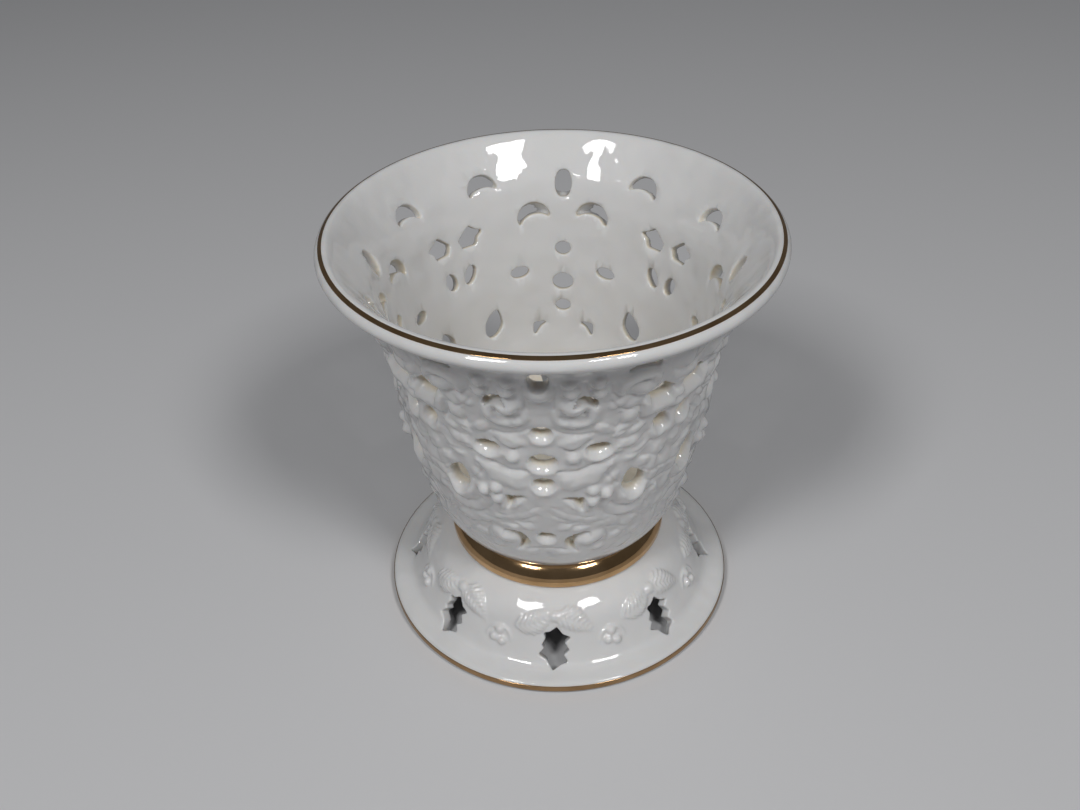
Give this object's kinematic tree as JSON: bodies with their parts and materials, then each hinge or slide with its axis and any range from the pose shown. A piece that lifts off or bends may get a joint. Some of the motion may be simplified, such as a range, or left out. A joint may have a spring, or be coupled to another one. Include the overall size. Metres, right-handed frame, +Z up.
{
  "type": "votive candle holder",
  "caption": "Pierced white china votive holder: bell-shaped cup with rolled lip on a spreading hollow foot, beaded waist, gold lines at lip and foot.",
  "frame": {"origin": "on the table, under the middle of the foot", "axes": "+Z up along the axis of the cup and foot; -Y towards the front panel of the cup"},
  "size_m": [0.1074, 0.1074, 0.1081],
  "materials": {
    "china": "clear gloss glaze over white body",
    "gold_lustre": "fired gold lustre, polished",
    "gilded_china": "glazed china with fired gold lustre all over, polished",
    "bare_clay": "unglazed, matt"
  },
  "bodies": {
    "root": {"pierced_foot": "china", "gold_foot_line": "gold_lustre", "luting_slip": "bare_clay", "waist_bead": "gilded_china", "pierced_cup": "china", "gold_rim_line": "gold_lustre"}
  },
  "joints": []
}
